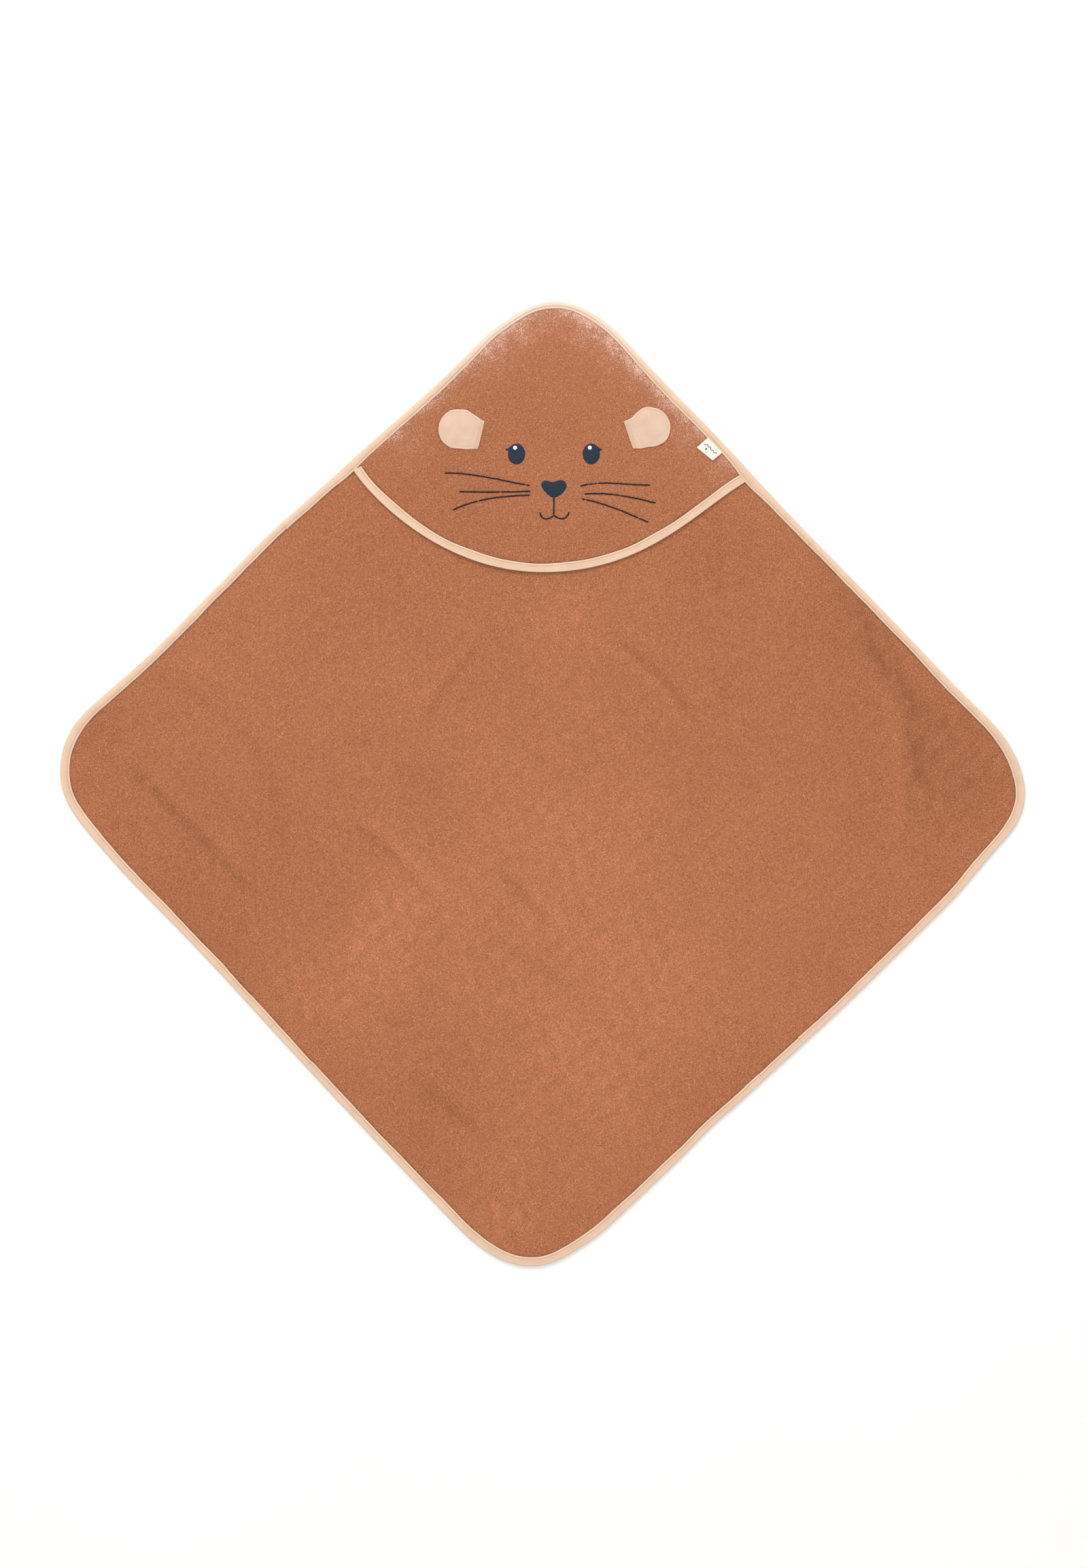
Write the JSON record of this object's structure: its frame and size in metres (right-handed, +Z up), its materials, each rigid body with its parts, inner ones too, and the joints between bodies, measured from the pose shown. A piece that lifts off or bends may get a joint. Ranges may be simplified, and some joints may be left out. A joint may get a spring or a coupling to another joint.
{
  "type": "hooded baby towel",
  "caption": "Square terry towel with rounded corners, a bound edge and a hood sewn over one corner, with two jersey ears, an embroidered animal face and a tape label",
  "frame": {"origin": "on the underside, below the middle of the flat towel", "axes": "+Z up out of the lying towel, +Y towards the corner that carries the hood, +X towards the corner on the child's left when the face reads upright"},
  "size_m": [1.0534, 1.0534, 0.0127],
  "materials": {
    "terry": "cotton terry, short loops, caramel brown, matt",
    "binding": "peach cotton jersey binding, matt",
    "ear_jersey": "peach cotton jersey, smooth and matt",
    "satin_thread": "dark navy satin stitch embroidery, soft sheen",
    "line_thread": "dark brown embroidered line",
    "white_thread": "off-white embroidery thread",
    "sewing_thread": "peach sewing thread, a little darker than the binding",
    "label_tape": "off-white woven cotton tape",
    "label_thread": "dark thread woven into the tape"
  },
  "bodies": {
    "towel": {"towel_centre_panel": "terry", "hood_crown": "terry", "edge_binding_hood": "binding", "edge_binding_lower_left": "binding", "edge_binding_lower_right": "binding", "edge_stitches_hood": "sewing_thread", "edge_stitches_lower_left": "sewing_thread", "edge_stitches_lower_right": "sewing_thread", "left_ear_sewn_edge": "ear_jersey", "left_ear_stitches": "sewing_thread", "right_ear_sewn_edge": "ear_jersey", "right_ear_stitches": "sewing_thread", "left_eye": "satin_thread", "right_eye": "satin_thread", "left_eye_glint": "white_thread", "right_eye_glint": "white_thread", "label_tucked_end": "label_tape"},
    "left_corner": {"towel_left_panel": "terry", "edge_binding_left": "binding", "edge_stitches_left": "sewing_thread"},
    "right_corner": {"towel_right_panel": "terry", "edge_binding_right": "binding", "edge_stitches_right": "sewing_thread"},
    "foot_corner": {"towel_foot_panel": "terry", "edge_binding_foot": "binding", "edge_stitches_foot": "sewing_thread"},
    "hood_front": {"hood_brim": "terry", "hood_hem_binding": "binding", "hood_hem_stitches": "sewing_thread", "nose": "satin_thread", "mouth": "line_thread", "left_whisker_upper": "line_thread", "left_whisker_middle": "line_thread", "left_whisker_lower": "line_thread", "right_whisker_upper": "line_thread", "right_whisker_middle": "line_thread", "right_whisker_lower": "line_thread"},
    "left_ear": {"left_ear_back": "ear_jersey", "left_ear_front": "ear_jersey"},
    "right_ear": {"right_ear_back": "ear_jersey", "right_ear_front": "ear_jersey"},
    "label": {"label_tape": "label_tape", "label_woven_wave": "label_thread"}
  },
  "joints": [
    {"name": "left_corner_fold", "type": "hinge", "parent": "towel", "child": "left_corner", "pos_m": [-0.29484, 0, 0.0062], "axis": [0, 1, 0], "range_deg": [0, 170]},
    {"name": "right_corner_fold", "type": "hinge", "parent": "towel", "child": "right_corner", "pos_m": [0.29484, 0, 0.0062], "axis": [0, -1, 0], "range_deg": [0, 170]},
    {"name": "foot_corner_fold", "type": "hinge", "parent": "towel", "child": "foot_corner", "pos_m": [0, -0.31984, 0.0062], "axis": [-1, 0, 0], "range_deg": [0, 170]},
    {"name": "hood_fold_back", "type": "hinge", "parent": "towel", "child": "hood_front", "pos_m": [0, 0.34354, 0.0145], "axis": [-1, 0, 0], "range_deg": [0, 155]},
    {"name": "left_ear_flip", "type": "hinge", "parent": "towel", "child": "left_ear", "pos_m": [-0.08091, 0.37869, 0.013], "axis": [0.2062, 0.9785, 0], "range_deg": [0, 170]},
    {"name": "right_ear_flip", "type": "hinge", "parent": "towel", "child": "right_ear", "pos_m": [0.08786, 0.38333, 0.013], "axis": [0.3502, -0.9367, 0], "range_deg": [0, 170]},
    {"name": "label_flip", "type": "hinge", "parent": "towel", "child": "label", "pos_m": [0.17833, 0.3742, 0.0073], "axis": [-0.7071, 0.7071, 0], "range_deg": [0, 160]}
  ]
}
